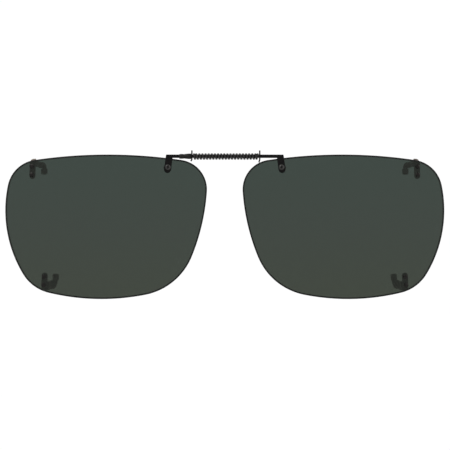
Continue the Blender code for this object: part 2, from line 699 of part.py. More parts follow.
def main():
    for old in list(bpy.data.objects):
        bpy.data.objects.remove(old)
    looks = {
        "lens": material("lens", (0.055, 0.070, 0.060), 0.05, 0.0, 0.9),
        "metal": material("blackened_metal", (0.02, 0.02, 0.02), 0.35, 0.8),
        "hook": material("bronzed_metal", (0.17, 0.15, 0.135), 0.35, 0.9),
        "spring": material("spring_wire", (0.035, 0.035, 0.035), 0.3, 0.9),
        "sleeve": material("sleeve_vinyl", (0.27, 0.255, 0.23), 0.4, 0.0),
        "bush": material("bush_nylon", (0.55, 0.55, 0.52), 0.4, 0.0),
    }
    left = make_body("left_side", (0, 0, 0))
    right = make_body("right_side", (0, BRIDGE_Y, BRIDGE_Z))
    make_side("left", -1, looks, left)
    make_side("right", 1, looks, right)
    make_bead(looks, left)
    make_plate("right", looks, left)
    make_spring(looks, left)
    make_plate("left", looks, right)
    make_collar(looks, right)


main()
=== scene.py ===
import math

import bmesh
import bpy
from mathutils import Matrix, Vector


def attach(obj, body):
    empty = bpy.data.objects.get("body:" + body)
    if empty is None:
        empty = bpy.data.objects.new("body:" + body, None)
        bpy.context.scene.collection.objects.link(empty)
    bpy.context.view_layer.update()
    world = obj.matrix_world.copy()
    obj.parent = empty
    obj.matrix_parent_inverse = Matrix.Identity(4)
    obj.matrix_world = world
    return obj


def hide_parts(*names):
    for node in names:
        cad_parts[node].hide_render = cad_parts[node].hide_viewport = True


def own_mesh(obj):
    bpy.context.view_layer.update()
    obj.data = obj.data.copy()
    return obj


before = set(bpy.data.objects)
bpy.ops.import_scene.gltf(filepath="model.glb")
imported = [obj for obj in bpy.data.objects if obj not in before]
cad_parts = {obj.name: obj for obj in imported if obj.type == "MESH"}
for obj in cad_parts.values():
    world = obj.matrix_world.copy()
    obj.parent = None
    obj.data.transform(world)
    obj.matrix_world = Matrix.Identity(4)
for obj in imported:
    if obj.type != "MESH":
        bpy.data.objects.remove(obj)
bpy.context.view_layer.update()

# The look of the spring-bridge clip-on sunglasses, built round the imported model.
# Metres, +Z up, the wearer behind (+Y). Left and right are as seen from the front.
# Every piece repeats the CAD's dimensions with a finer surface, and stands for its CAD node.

MM = 0.001
TURN = 2 * math.pi
QUARTER = math.pi / 2
LEFT, RIGHT = "left_side", "right_side"
BODY = {"left": LEFT, "right": RIGHT}

# ---- Dimensions, the CAD's own ----
LENS_GAP = 10.1 * MM
LENS_THICK = 1.0 * MM
LENS_RADIUS = 131.0 * MM
LENS_FRONT_Y = -5.0 * MM
VERTEX_IN = 6.0 * MM  # the front curve's foremost point lies this far towards the nose
# The outline anticlockwise from the nose: where each arc starts, in degrees, and its radius.
OUTLINE = (
    (-3.9, 8.55 * MM),
    (81.7, None),
    (98.2, 9.18 * MM),
    (168.4, None),
    (211.3, 11.8 * MM),
    (256.6, 65.8 * MM),
    (281.1, 18.15 * MM),
    (337.6, 59.9 * MM),
)
FIT_GAP = 0.08 * MM  # between a lens and what is fastened to it
JOIN_GAP = 0.03 * MM  # between two pieces that are brazed or pressed together
BRIDGE_Z = 20.19 * MM
BRIDGE_Y = -3.3 * MM
BAR_HALF_HEIGHT = 0.49 * MM  # each arm's slide bar is half round
BAR_DEPTH = 0.44 * MM
BAR_HALF_GAP = 0.03 * MM  # from the bridge's middle plane to either bar's flat
BAR_SHORT = 0.12 * MM  # a bar ends this much inside its paddle's outer side
JOGGLE = (2.0 * MM, 1.3 * MM)  # from that end to the shift off the middle plane, and its length
TIP_PAST = 0.12 * MM  # the left arm's tip comes this far out of the right end plate
TIP_IN_COLLAR = 0.05 * MM  # the right arm's tip stays this far inside its collar's end
PLATE_X = {"left": -9.42 * MM, "right": 10.0 * MM}
PLATE_THICK = 0.40 * MM
PLATE_RADIUS = 1.0 * MM
EAR_HALF_WIDTH = 0.45 * MM
EAR_BEND = 0.3 * MM  # length of the lower ear's bend
EAR_TOP = 1.67 * MM
EAR_BOTTOM = {"left": (1.48 * MM, math.radians(34)), "right": (1.78 * MM, math.radians(16))}
SLIDE_CLEARANCE = 0.04 * MM
COLLAR_LENGTH = 1.95 * MM
COLLAR_RADIUS = (0.68 * MM, 0.80 * MM)
BEAD_RADIUS = 0.70 * MM
BEAD_LENGTH = 1.35 * MM
BEAD_DROP = 0.02 * MM
BEAD_GAP = 0.05 * MM  # between the bead and the collar that rests on it
SPRING_STRIP = (0.52 * MM, 0.32 * MM)  # the flattened wire's width along the coil and its thickness
SPRING_RADIUS = 0.765 * MM  # of the coil, at the middle of its wire
SPRING_DROP = 0.07 * MM  # the loose coil hangs this much below the bars
SPRING_TURNS = 21.5
SPRING_END_PITCH = 0.54 * MM
SHEET = 0.40 * MM
PADDLE_AT = 83.1  # direction of the outline where an arm's paddle sits, in degrees
PADDLE_LEAN = math.radians(8)
PADDLE_HALF_WIDTH = 1.0 * MM
PADDLE_REACH = 4.33 * MM  # down the front of the lens, from its edge
PADDLE_PAST = 0.5 * MM  # and up past that edge, into the bar's end
SCREW_IN = 2.72 * MM  # from the lens's edge
SCREW_SHANK = 0.50 * MM
SCREW_HEAD = 0.80 * MM
SCREW_PAST = 0.12 * MM  # its tip stands this far out of the nut
BUSH_RADIUS = 0.75 * MM
BUSH_FLANGE = 1.15 * MM
BUSH_FLANGE_THICK = 0.22 * MM
BUSH_IN = 0.02 * MM  # its front end lies this deep in the lens
NUT_ACROSS = 0.95 * MM
NUT_THICK = 0.60 * MM
NUT_CHAMFER = 0.12 * MM
HOOK_X = {"upper": -21.35 * MM, "lower": -18.05 * MM}  # from the lens's centre, - towards the temple
HOOK_LEAN = {"upper": math.radians(1), "lower": math.radians(5)}
HOOK_REACH = 5.25 * MM  # the base leg's tip, in from the lens's edge
HOOK_NUB = {"upper": 0.65 * MM, "lower": 0.15 * MM}  # its other end stands this much past the edge
HOOK_HALF_WIDTH = 0.86 * MM
BAND = {"upper": (0.05 * MM, 1.75 * MM), "lower": (0.30 * MM, 2.85 * MM)}  # in from the edge
BAND_RISE = 0.45 * MM  # back at the claw it stands this much nearer the edge
CLAW_HALF_WIDTH = 0.62 * MM
CLAW_REACH = {"upper": 3.0 * MM, "lower": 4.1 * MM}
HOOK_DEPTH = 5.5 * MM
HOOK_BEND = 0.40 * MM
HOOK_FOLD = math.radians(94.5)  # a little past square, so the claw stays close behind its leg
RIVETS_IN = (1.75 * MM, 4.15 * MM)
RIVET_SHANK = 0.35 * MM
RIVET_HEAD = 0.66 * MM
SLEEVE_LENGTH = {"upper": 1.70 * MM, "lower": 1.80 * MM}
SLEEVE_WALL = 0.26 * MM
SLEEVE_SLACK = (0.05 * MM, 0.11 * MM)  # between the claw and the pocket's sides, and its faces

# ---- What is finer here than in the CAD ----
ARC_STEP = math.radians(2.5)
ARC_LONGEST = 0.7 * MM
LENS_RINGS = (0.12, 0.24, 0.36, 0.48, 0.6, 0.72, 0.84, 0.93, 1.0)  # shares of the way to the edge
EDGE_BEVEL = 0.40 * MM  # the lens's ground rim, in from the edge
BEVEL_DEPTH = 0.8 * EDGE_BEVEL
BAR_STEPS = 24
# A bar's rounded outer end: how far in from it, and the share of the full section.
BAR_END = ((0.0, 0.80), (0.02 * MM, 0.90), (0.06 * MM, 0.97), (0.12 * MM, 1.0))
SPRING_ROUND = 0.12 * MM  # at the flattened wire's corners
SPRING_STEPS = 24  # in a turn
EAR_ROUND = 0.2 * MM  # at the corners of an ear's tip
SCREW_RIM = 0.12 * MM
SCREW_DOME = 0.34 * MM  # over that rim
SCREW_THREAD = (14, 0.05 * MM, 0.08 * MM)  # crests and roots, the thread's depth, the point's chamfer
RECESS = (0.60 * MM, 0.15 * MM)  # half length and half width of the cross's cutter at its outer end
RECESS_HEIGHT = 1 * MM  # of that cutter
RECESS_FLOOR = 0.16 * MM  # from the head's underside
RECESS_TAPER = 0.8  # the floor's share of the size at the outer end
RIVET_RIM = 0.05 * MM
RIVET_DOME = 0.26 * MM  # with that rim
RIVET_TAIL = (0.50 * MM, 0.09 * MM)  # radius and height of the upset end
BEAD_SLACK = 0.01 * MM  # round the bar that it is brazed to
# The collar's rounded ends: how far in from the end, and how much under the full radius.
COLLAR_ROUND = ((0.0, 0.07 * MM), (0.02 * MM, 0.03 * MM), (0.08 * MM, 0.0))
NOISE_SPAN = (0.3, 0.7)  # most of a noise texture's values lie between these


# ---- Materials ----
def new_material(name):
    made = bpy.data.materials.new(name)
    made.use_nodes = True
    tree = made.node_tree
    return made, tree, tree.nodes["Principled BSDF"]


def noise(tree, scale, detail=3.0, stretch=(1.0, 1.0, 1.0)):
    """Noise over the object's own metres. Scale counts its cells in a millimetre."""
    where = tree.nodes.new("ShaderNodeTexCoord")
    mapping = tree.nodes.new("ShaderNodeMapping")
    mapping.inputs["Scale"].default_value = [1000 * s for s in stretch]
    cells = tree.nodes.new("ShaderNodeTexNoise")
    cells.inputs["Scale"].default_value = scale
    cells.inputs["Detail"].default_value = detail
    tree.links.new(where.outputs["Object"], mapping.inputs["Vector"])
    tree.links.new(mapping.outputs["Vector"], cells.inputs["Vector"])
    return cells.outputs["Fac"]


def spread(tree, source, low, high, start=NOISE_SPAN[0], end=NOISE_SPAN[1]):
    """A number that goes from low to high as source goes from start to end."""
    span = tree.nodes.new("ShaderNodeMapRange")
    span.inputs["From Min"].default_value = start
    span.inputs["From Max"].default_value = end
    span.inputs["To Min"].default_value = low
    span.inputs["To Max"].default_value = high
    tree.links.new(source, span.inputs["Value"])
    return span.outputs["Result"]


def ramp(tree, source, shader, stops):
    """Base colour through these stops of (position, colour)."""
    band = tree.nodes.new("ShaderNodeValToRGB")
    while len(band.color_ramp.elements) < len(stops):
        band.color_ramp.elements.new(0.5)
    for element, (position, colour) in zip(band.color_ramp.elements, stops):
        element.position = position
        element.color = (*colour, 1.0)
    tree.links.new(source, band.inputs["Fac"])
    tree.links.new(band.outputs["Color"], shader.inputs["Base Color"])


def mottle(tree, source, shader, dark, light):
    ramp(tree, source, shader, list(zip(NOISE_SPAN, (dark, light))))


def bump(tree, shader, source, depth, strength):
    made = tree.nodes.new("ShaderNodeBump")
    made.inputs["Strength"].default_value = strength
    made.inputs["Distance"].default_value = depth
    tree.links.new(source, made.inputs["Height"])
    tree.links.new(made.outputs["Normal"], shader.inputs["Normal"])


def lens_tint():
    """Grey-green optical resin, a little less blue towards the bottom."""
    made, tree, shader = new_material("lens_tint")
    where = tree.nodes.new("ShaderNodeTexCoord")
    split = tree.nodes.new("ShaderNodeSeparateXYZ")
    tree.links.new(where.outputs["Object"], split.inputs["Vector"])
    half = 20 * MM  # about half the lens's height
    height = spread(tree, split.outputs["Z"], 0.0, 1.0, -half, half)
    stops = [
        (0.0, (0.0365, 0.0445, 0.0336)),
        (0.5, (0.0343, 0.0445, 0.0378)),
        (1.0, (0.0317, 0.0464, 0.0400)),
    ]
    ramp(tree, height, shader, stops)
    shader.inputs["Roughness"].default_value = 0.015
    shader.inputs["Transmission Weight"].default_value = 1.0
    shader.inputs["IOR"].default_value = 1.5
    shader.inputs["Specular Tint"].default_value = (0.92, 1.0, 0.88, 1.0)
    return made


def lens_edge():
    """The ground and lacquered rim of the lens: nearly black, faintly scored along its length."""
    made, tree, shader = new_material("lens_edge")
    grain = noise(tree, 6.0, 4.0, (1.0, 5.0, 1.0))
    mottle(tree, grain, shader, (0.002, 0.003, 0.0025), (0.007, 0.009, 0.008))
    tree.links.new(spread(tree, grain, 0.35, 0.6), shader.inputs["Roughness"])
    shader.inputs["Specular IOR Level"].default_value = 0.15
    bump(tree, shader, grain, 0.01 * MM, 0.4)
    return made


def plated(name, dark, light, rough, metallic, shine=0.5, scale=5.0):
    """Plated or blackened metal with uneven tone, polish and a trace of tooling."""
    made, tree, shader = new_material(name)
    patches = noise(tree, scale * 0.35, 4.0)
    grain = noise(tree, scale * 4, 3.0, (0.4, 1.0, 1.0))
    mottle(tree, patches, shader, dark, light)
    tree.links.new(spread(tree, grain, rough - 0.07, rough + 0.09), shader.inputs["Roughness"])
    shader.inputs["Metallic"].default_value = metallic
    shader.inputs["Specular IOR Level"].default_value = shine
    bump(tree, shader, grain, 0.004 * MM, 0.5)
    return made


def vinyl():
    """Smoky soft vinyl: it lets some light through, and is faintly dimpled from its mould."""
    made, tree, shader = new_material("smoky_vinyl")
    dimples = noise(tree, 7.0, 2.0)
    mottle(tree, dimples, shader, (0.25, 0.24, 0.21), (0.36, 0.34, 0.305))
    tree.links.new(spread(tree, dimples, 0.3, 0.48), shader.inputs["Roughness"])
    shader.inputs["Transmission Weight"].default_value = 0.35
    shader.inputs["Subsurface Weight"].default_value = 0.25
    shader.inputs["Subsurface Radius"].default_value = (0.6, 0.5, 0.4)
    shader.inputs["Subsurface Scale"].default_value = 0.4 * MM
    bump(tree, shader, dimples, 0.012 * MM, 0.5)
    return made


def nylon():
    """Natural nylon: milky, with a soft sheen."""
    made, tree, shader = new_material("natural_nylon")
    cloud = noise(tree, 3.0, 3.0)
    mottle(tree, cloud, shader, (0.56, 0.56, 0.52), (0.68, 0.68, 0.64))
    tree.links.new(spread(tree, cloud, 0.32, 0.45), shader.inputs["Roughness"])
    shader.inputs["Subsurface Weight"].default_value = 0.4
    shader.inputs["Subsurface Radius"].default_value = (0.8, 0.8, 0.7)
    shader.inputs["Subsurface Scale"].default_value = 0.5 * MM
    return made


LOOKS = {
    "lens": lens_tint(),
    "edge": lens_edge(),
    "arm": plated("black_plated_arm", (0.004, 0.004, 0.004), (0.010, 0.009, 0.009), 0.34, 0.35, 0.14),
    "guide": plated("black_plated_guide", (0.012, 0.012, 0.011), (0.028, 0.027, 0.025), 0.3, 0.6, 0.35),
    "hook": plated("bronze_black_hook", (0.18, 0.155, 0.14), (0.29, 0.25, 0.22), 0.34, 1.0),
    "rivet": plated("rivet_black", (0.014, 0.013, 0.012), (0.032, 0.030, 0.028), 0.24, 0.85),
    "screw": plated("screw_steel", (0.055, 0.055, 0.053), (0.095, 0.093, 0.088), 0.3, 0.9),
    "spring": plated("spring_steel", (0.030, 0.030, 0.030), (0.060, 0.058, 0.056), 0.28, 0.9, 0.5, 8.0),
    "sleeve": vinyl(),
    "bush": nylon(),
}


# ---- Meshes ----
def mesh_object(name, bm, frame_matrix=None, sharp=38):
    """Edges over this many degrees stay sharp. A mirroring frame turns the faces over."""
    bmesh.ops.recalc_face_normals(bm, faces=bm.faces)
    mesh = bpy.data.meshes.new(name)
    bm.to_mesh(mesh)
    bm.free()
    if frame_matrix is not None:
        mesh.transform(frame_matrix)
        if frame_matrix.determinant() < 0:
            mesh.flip_normals()
    mesh.shade_smooth()
    mesh.set_sharp_from_angle(angle=math.radians(sharp))
    made = bpy.data.objects.new(name, mesh)
    bpy.context.scene.collection.objects.link(made)
    return made


def piece(made, look, body, *nodes):
    """Dresses a piece, hangs it on its body and lets it stand for its CAD nodes."""
    if not made.data.materials:
        made.data.materials.append(LOOKS[look])
    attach(made, body)
    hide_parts(*nodes)
    return made


def wear(made, *looks):
    for look in looks:
        made.data.materials.append(LOOKS[look])


def cut_away(target, bm, frame_matrix=None, looks=()):
    """Cuts bm's shape out of the target. Where there are two looks, the cut wears the second."""
    for face in bm.faces:
        face.material_index = 1 if looks else 0
    cutter = mesh_object("cutter", bm, frame_matrix)
    wear(cutter, *looks)
    cut = target.modifiers.new("cut", "BOOLEAN")
    cut.operation = "DIFFERENCE"
    cut.object = cutter
    cut.solver = "EXACT"
    bpy.context.view_layer.update()
    graph = bpy.context.evaluated_depsgraph_get()
    mesh = bpy.data.meshes.new_from_object(target.evaluated_get(graph))
    target.modifiers.clear()
    target.data = mesh
    bpy.data.objects.remove(cutter)


def loft(rings, loop=False):
    """Skins rings of equal point counts. The ends are capped, or joined to each other in a loop."""
    bm = bmesh.new()
    made = [[bm.verts.new(p) for p in ring] for ring in rings]
    pairs = list(zip(made, made[1:]))
    if loop:
        pairs.append((made[-1], made[0]))
    else:
        bm.faces.new(made[0])
        bm.faces.new(made[-1])
    count = len(made[0])
    for a, b in pairs:
        for i in range(count):
            j = (i + 1) % count
            bm.faces.new((a[i], a[j], b[j], b[i]))
    return bm


def circle(q, radius, sides, inward):
    """A ring at depth q round a line that runs back through the lens, this far in from its edge."""
    steps = [TURN * i / sides for i in range(sides)]
    return [Vector((radius * math.cos(t), q, radius * math.sin(t) - inward)) for t in steps]


def turned(profile, sides, inward, loop=False):
    """A solid of revolution about that line, from (depth, radius) pairs."""
    return loft([circle(q, r, sides, inward) for q, r in profile], loop)


def fold_at(profile, along):
    """Middle point and normal of a folded sheet, at a flat distance along its (length, turn) runs."""
    p, q, heading = 0.0, 0.0, 0.0
    left = along
    for index, (length, turn) in enumerate(profile):
        last = index == len(profile) - 1
        run = left if last or left < length else length
        if turn:
            radius = length / turn
            after = heading + turn * run / length
            p += radius * (math.sin(after) - math.sin(heading))
            q += radius * (math.cos(heading) - math.cos(after))
            heading = after
        else:
            p += run * math.cos(heading)
            q += run * math.sin(heading)
        left -= run
        if left <= 0:
            break
    return Vector((p, q)), Vector((-math.sin(heading), math.cos(heading)))


def rounded_sheet(stations, profile, thickness, radius):
    """A bent blank whose edges are rounded. Each station is a pair of flat points (along, across)."""
    steps = 3
    rings = []
    for a, b in stations:
        a, b = Vector(a), Vector(b)
        length = (b - a).length
        way = (b - a) / length
        r = min(radius, 0.45 * length, 0.45 * thickness)
        ring = []
        for s, n, first in ((r, -1, 180), (length - r, -1, 270), (length - r, 1, 0), (r, 1, 90)):
            for i in range(steps + 1):
                t = math.radians(first + 90 * i / steps)
                flat = a + way * (s + r * math.cos(t))
                off = n * (thickness / 2 - r) + r * math.sin(t)
                middle, normal = fold_at(profile, flat.x)
                at = middle + normal * off
                ring.append(Vector((at.x, at.y, flat.y)))
        rings.append(ring)
    bm = loft(rings)
    bmesh.ops.remove_doubles(bm, verts=bm.verts, dist=0.0005 * MM)
    return bm


def rounded_end(along, half_width, tip, towards, steps=14):
    """Stations of a leg's half-round end. towards is +1 to start at the tip, -1 to finish there."""
    turns = [math.radians(84) * (1 - i / steps) for i in range(steps + 1)]
    stations = []
    for turn in turns if towards > 0 else turns[::-1]:
        level = tip + half_width * (1 - math.sin(turn))
        half = half_width * math.cos(turn)
        stations.append(((along - half * towards, level), (along + half * towards, level)))
    return stations


# ---- The lens's outline and surfaces: u towards the nose, w up ----
def closed_arcs():
    """The arcs as (start, end, radius), with the two open radii solved so that the outline closes."""
    starts = [math.radians(a) for a, _ in OUTLINE]
    spans = list(zip(starts, [*starts[1:], starts[0] + TURN]))
    steps = [Vector((math.cos(b) - math.cos(a), math.sin(b) - math.sin(a))) for a, b in spans]
    known = sum((s * r for s, (_, r) in zip(steps, OUTLINE) if r is not None), Vector((0, 0)))
    first, second = (i for i, (_, r) in enumerate(OUTLINE) if r is None)
    a, b = steps[first], steps[second]
    cross = a.x * b.y - a.y * b.x
    solved = {
        first: (known.y * b.x - known.x * b.y) / cross,
        second: (known.x * a.y - known.y * a.x) / cross,
    }
    return [(lo, hi, solved.get(i, OUTLINE[i][1])) for i, (lo, hi) in enumerate(spans)]


ARCS = closed_arcs()


def outline_at(degrees):
    """The outline's point whose outward direction is this angle, before centring."""
    target = math.radians(degrees)
    point = Vector((0.0, 0.0))
    for lo, hi, radius in ARCS:
        end = min(max(target, lo), hi)
        point += radius * Vector((math.cos(end) - math.cos(lo), math.sin(end) - math.sin(lo)))
        if target <= hi:
            break
    return point


EXTREMES = [outline_at(a) for a in (0, 90, 180, 270)]
CENTRE = Vector(((EXTREMES[0].x + EXTREMES[2].x) / 2, (EXTREMES[1].y + EXTREMES[3].y) / 2))
LENS_WIDTH = EXTREMES[0].x - EXTREMES[2].x
LENS_MIDDLE_X = (LENS_GAP + LENS_WIDTH) / 2
SPHERE_CENTRE = Vector((VERTEX_IN, LENS_FRONT_Y + LENS_RADIUS, 0))


def outline_points():
    """The outline's points, centred on its box, with their outward directions."""
    points = []
    for lo, hi, radius in ARCS:
        steps = max(4, math.ceil((hi - lo) / ARC_STEP), math.ceil(radius * (hi - lo) / ARC_LONGEST))
        for i in range(steps):
            t = lo + (hi - lo) * i / steps
            points.append((outline_at(math.degrees(t)) - CENTRE, Vector((math.cos(t), math.sin(t)))))
    return points


def lens_point(u, w, behind=0.0):
    """A point of the lens's spherical front, or the one straight through the lens behind it."""
    square = (u - VERTEX_IN) ** 2 + w**2
    front = Vector((u, SPHERE_CENTRE.y - math.sqrt(LENS_RADIUS**2 - square), w))
    return front + (SPHERE_CENTRE - front) * behind / LENS_RADIUS


def side_matrix(side):
    """From the lens's coordinates (u, y, w) to the model's: side -1 is the left lens, +1 the right."""
    return Matrix.Translation((side * LENS_MIDDLE_X, 0, 0)) @ Matrix.Scale(-side, 4, (1, 0, 0))


def seat_frame(side, at, inward, out):
    """A frame at the lens's edge. Its Z points along out, past the edge, its Y straight back through
    the lens, and its XZ plane touches the front at this distance in from the edge."""
    touch = lens_point(*(at - out * inward))
    back = (SPHERE_CENTRE - touch).normalized()
    up = Vector((out.x, 0, out.y))
    up = (up - back * up.dot(back)).normalized()
    across = back.cross(up)
    origin = touch + up * inward
    local = Matrix((across, back, up)).transposed().to_4x4()
    return side_matrix(side) @ Matrix.Translation(origin) @ local


def hook_place(side, level):
    """A hook's frame, whose X points to the nose and Z out of the lens."""
    sign = 1 if level == "upper" else -1
    u = HOOK_X[level]
    low, high = (98.2, 168.4) if level == "upper" else (211.3, 270.0)
    for _ in range(40):  # the outline's direction at this place, by halving
        middle = (low + high) / 2
        past = (outline_at(middle) - CENTRE).x < u
        if past == (level == "upper"):
            high = middle
        else:
            low = middle
    edge = outline_at(low) - CENTRE
    lean = HOOK_LEAN[level]
    out = Vector((-math.sin(lean), sign * math.cos(lean)))
    seat = seat_frame(side, edge, HOOK_REACH / 2, out)
    return seat @ Matrix.Scale(sign, 4, (1, 0, 0))


def paddle_frame(side):
    edge = outline_at(PADDLE_AT) - CENTRE
    out = Vector((math.sin(PADDLE_LEAN), math.cos(PADDLE_LEAN)))
    return seat_frame(side, edge, PADDLE_REACH / 2, out)


# ---- Lenses ----
def make_lens(name, side, body, frames):
    """Two polished faces, a ground rim between them, and the holes for rivets and bush."""
    outline = outline_points()
    count = len(outline)
    bm = bmesh.new()
    skins = []
    for behind in (0.0, LENS_THICK):
        rings = []
        for share in LENS_RINGS:
            ring = [(p - n * EDGE_BEVEL) * share for p, n in outline]
            rings.append([bm.verts.new(lens_point(*p, behind)) for p in ring])
        pole = bm.verts.new(lens_point(0, 0, behind))
        for i in range(count):
            j = (i + 1) % count
            bm.faces.new((pole, rings[0][i], rings[0][j]))
            for inner, outer in zip(rings, rings[1:]):
                bm.faces.new((inner[i], outer[i], outer[j], inner[j]))
        skins.append(rings[-1])
    walls = [skins[0]]
    for behind in (BEVEL_DEPTH, LENS_THICK - BEVEL_DEPTH):
        walls.append([bm.verts.new(lens_point(*p, behind)) for p, _ in outline])
    walls.append(skins[1])
    for a, b in zip(walls, walls[1:]):
        for i in range(count):
            j = (i + 1) % count
            bm.faces.new((a[i], a[j], b[j], b[i])).material_index = 1
    lens = mesh_object(name, bm, side_matrix(side), 25)
    looks = ("lens", "edge")
    wear(lens, *looks)
    holes = [(frames[level], inward, RIVET_SHANK + FIT_GAP) for level in HOOK_X for inward in RIVETS_IN]
    holes.append((frames["paddle"], SCREW_IN, BUSH_RADIUS + FIT_GAP))
    through = 3 * LENS_THICK
    for frame_matrix, inward, radius in holes:
        hole = turned([(-through, radius), (through, radius)], 32, inward)
        cut_away(lens, hole, frame_matrix, looks)
    curve_normals(lens, side_matrix(side) @ SPHERE_CENTRE)
    piece(lens, "lens", body, name)


def curve_normals(lens, centre):
    """Gives the two polished faces the exact normals of their spheres."""
    mesh = lens.data
    mesh.shade_smooth()
    mesh.set_sharp_from_angle(angle=math.radians(25))
    normals = [Vector((0, 0, 0))] * len(mesh.loops)
    for face in mesh.polygons:
        if face.material_index:
            continue
        out = (face.center - centre).normalized()
        sign = 1 if out.dot(face.normal) > 0 else -1
        for k in face.loop_indices:
            at = mesh.vertices[mesh.loops[k].vertex_index].co
            normals[k] = (at - centre).normalized() * sign
    mesh.normals_split_custom_set(normals)


# ---- Hooks ----
def hook_profile():
    """The blank's two bends: back from the lens, then along it again."""
    corner = HOOK_FOLD * HOOK_BEND
    straight = HOOK_DEPTH - 2 * HOOK_BEND
    return [(HOOK_HALF_WIDTH, 0), (corner, HOOK_FOLD), (straight, 0), (corner, -HOOK_FOLD), (0, 0)]


def hook_flat_length():
    """From the middle of the base leg to the middle of the claw, along the flat blank."""
    return sum(length for length, _ in hook_profile()) + CLAW_HALF_WIDTH


def corner_fan(inner, reach, rise, squareness):
    """Stations that turn an outer corner about an inner one: 2 is an ellipse, 4 nearly square."""
    steps = 18
    stations = []
    for i in range(steps + 1):
        t = QUARTER * i / steps
        share = Vector((math.cos(t), math.sin(t)))
        stretch = 1 / (share.x**squareness + share.y**squareness) ** (1 / squareness)
        outer = (inner[0] + reach * share.x * stretch, inner[1] + rise * share.y * stretch)
        stations.append((outer, inner))
    return stations


def make_hook(name, level, body, seat):
    """A stamped U bent twice: the base leg lies on the lens, the claw stands behind it."""
    flat = hook_flat_length()
    top, bottom = (-inward for inward in BAND[level])
    stations = rounded_end(0.0, HOOK_HALF_WIDTH, -HOOK_REACH, 1)
    stations += corner_fan((HOOK_HALF_WIDTH, bottom), -2 * HOOK_HALF_WIDTH, HOOK_NUB[level] - bottom, 4)
    alongs = []
    start = HOOK_HALF_WIDTH
    for run, turn in hook_profile()[1:-1]:
        steps = 10 if turn else 3
        alongs += [start + run * i / steps for i in range(1, steps + 1)]
        start += run
    for along in alongs[:-1]:
        rise = BAND_RISE * (along - HOOK_HALF_WIDTH) / (start - HOOK_HALF_WIDTH)
        stations.append(((along, top + rise), (along, bottom + rise)))
    inner = (flat - CLAW_HALF_WIDTH, bottom + BAND_RISE)
    stations += corner_fan(inner, 2 * CLAW_HALF_WIDTH, top - bottom, 2)[::-1]
    stations += rounded_end(flat, CLAW_HALF_WIDTH, -CLAW_REACH[level], -1)
    bm = rounded_sheet(stations, hook_profile(), SHEET, 0.08 * MM)
    lie = seat @ Matrix.Translation((0, LENS_THICK + FIT_GAP + SHEET / 2, 0))
    piece(mesh_object(name, bm, lie, 50), "hook", body, name)


def make_sleeve(name, level, body, seat):
    """A soft sleeve over the claw: a closed tube with a pocket of the claw's section."""
    middle, _ = fold_at(hook_profile(), hook_flat_length())
    tip = -CLAW_REACH[level]
    open_end = tip + SLEEVE_LENGTH[level] - SLEEVE_WALL
    pocket = tip - JOIN_GAP
    inner = (CLAW_HALF_WIDTH + SLEEVE_SLACK[0], SHEET / 2 + SLEEVE_SLACK[1])
    outer = (inner[0] + SLEEVE_WALL, inner[1] + 0.8 * SLEEVE_WALL)
    sides = 40

    def section(at, half_width, half_depth):
        """A squared oval at this height along the claw."""
        ring = []
        for i in range(sides):
            t = TURN * i / sides
            c, s = math.cos(t), math.sin(t)
            x = math.copysign(abs(c) ** 0.6, c) * half_width
            y = math.copysign(abs(s) ** 0.6, s) * half_depth
            ring.append(Vector((x, y, at)))
        return ring

    rings = []
    for i in range(10):
        t = math.radians(82 * (1 - i / 9))
        share = math.cos(t) ** 0.8
        drop = SLEEVE_WALL * 1.6 * math.sin(t)
        rings.append(section(pocket + 0.2 * MM - drop, outer[0] * share, outer[1] * share))
    lip = 0.05 * MM
    swell = ((0.32 * MM, 0.03 * MM), (0.22 * MM, 0.0), (lip, 0.0), (0.3 * lip, 0.3 * lip), (0.0, lip))
    for back, off in swell:
        rings.append(section(open_end - back, outer[0] - off, outer[1] - off))
    rings.append(section(open_end, inner[0] + lip, inner[1] + 0.6 * lip))
    rings.append(section(open_end - lip, *inner))
    rings.append(section(pocket, *inner))
    lie = seat @ Matrix.Translation((middle.x, LENS_THICK + FIT_GAP + SHEET / 2 + middle.y, 0))
    piece(mesh_object(name, loft(rings), lie, 50), "sleeve", body, name)


def make_rivet(name, inward, body, seat):
    """A domed head on the front of the lens, and a shank upset over the hook's base."""
    under = -FIT_GAP
    end = LENS_THICK + FIT_GAP + SHEET
    profile = []
    for i in range(10):
        t = QUARTER * (i + 0.35) / 9.35
        rise = RIVET_RIM + (RIVET_DOME - RIVET_RIM) * math.cos(t)
        profile.append((under - rise, RIVET_HEAD * math.sin(t)))
    profile.append((under - 0.01 * MM, RIVET_HEAD))
    profile += [(under, RIVET_HEAD - 0.02 * MM), (under, RIVET_SHANK), (end, RIVET_SHANK)]
    tail, height = RIVET_TAIL
    for i in range(5):
        t = QUARTER * (1 - i / 4.6)
        profile.append((end + height * math.cos(t), tail * math.sin(t)))
    piece(mesh_object(name, turned(profile, 32, inward), seat, 50), "rivet", body, name)


# ---- Arms and what fastens them ----
ARM_END_X = LENS_MIDDLE_X - (outline_at(PADDLE_AT) - CENTRE).x + PADDLE_HALF_WIDTH - BAR_SHORT
COLLAR_START_X = PLATE_X["left"] - PLATE_THICK / 2 - JOIN_GAP - COLLAR_LENGTH
BEAD_START_X = COLLAR_START_X - BEAD_GAP - BEAD_LENGTH


def ring_about_bridge(x, front, across, up, drop=0.0):
    """An oval ring round the bridge's line, in the same order of points as a bar's section."""
    ring = []
    for i in range(2 * BAR_STEPS):
        t = -QUARTER + math.pi * i / BAR_STEPS
        y = BRIDGE_Y + front * across * math.cos(t)
        ring.append(Vector((x, y, BRIDGE_Z - drop + up * math.sin(t))))
    return ring


